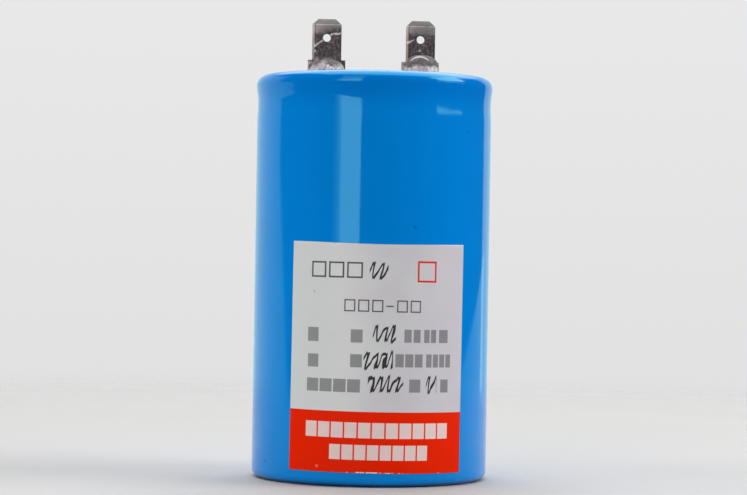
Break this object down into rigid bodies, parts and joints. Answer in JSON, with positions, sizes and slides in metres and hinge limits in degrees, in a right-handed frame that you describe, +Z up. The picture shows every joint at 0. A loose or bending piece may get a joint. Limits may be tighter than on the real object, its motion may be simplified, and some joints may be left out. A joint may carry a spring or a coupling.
{
  "type": "motor run film capacitor",
  "caption": "Round motor-run film capacitor in a sleeved aluminium can, with a rolled rim, a lid and upright push-on terminals on top.",
  "frame": {"origin": "centre of the base, on the surface that the capacitor stands on", "axes": "+Z up along the can's axis towards the terminals, the label faces -Y, the two terminals stand along X"},
  "size_m": [0.051, 0.051, 0.0988],
  "materials": {
    "sleeve": "glossy blue shrunk sleeve",
    "label": "satin silver-grey and red label",
    "can": "plain drawn aluminium",
    "lid": "dark moulded phenolic",
    "gasket": "black rubber",
    "tinned": "tinned and scratched",
    "eyelet": "tinned brass",
    "washer": "plain steel",
    "solder": "bright solder",
    "film": "wound metallised film",
    "core": "natural plastic tube",
    "spray": "rough sprayed zinc",
    "lead": "tinned copper wire",
    "lead_tube": "white insulating tube",
    "resin": "cast amber resin",
    "liner": "milky plastic sheet",
    "insulator": "moulded white plastic"
  },
  "bodies": {
    "root": {"aluminium_can": "can", "shrink_sleeve": "sleeve", "type_label": "label", "lid": "lid", "lid_gasket": "gasket", "terminal_left": "tinned", "terminal_right": "tinned", "eyelet_left": "eyelet", "eyelet_right": "eyelet", "washer_left": "washer", "washer_right": "washer", "solder_dome_left": "solder", "solder_dome_right": "solder", "film_element": "film", "winding_core": "core", "end_spray_top": "spray", "end_spray_bottom": "spray", "lead_top": "lead", "lead_bottom": "lead", "lead_tube_top": "lead_tube", "lead_tube_bottom": "lead_tube", "solder_joint_top": "solder", "solder_joint_bottom": "solder", "resin_fill": "resin", "can_liner": "liner", "base_insulator": "insulator"}
  },
  "joints": []
}
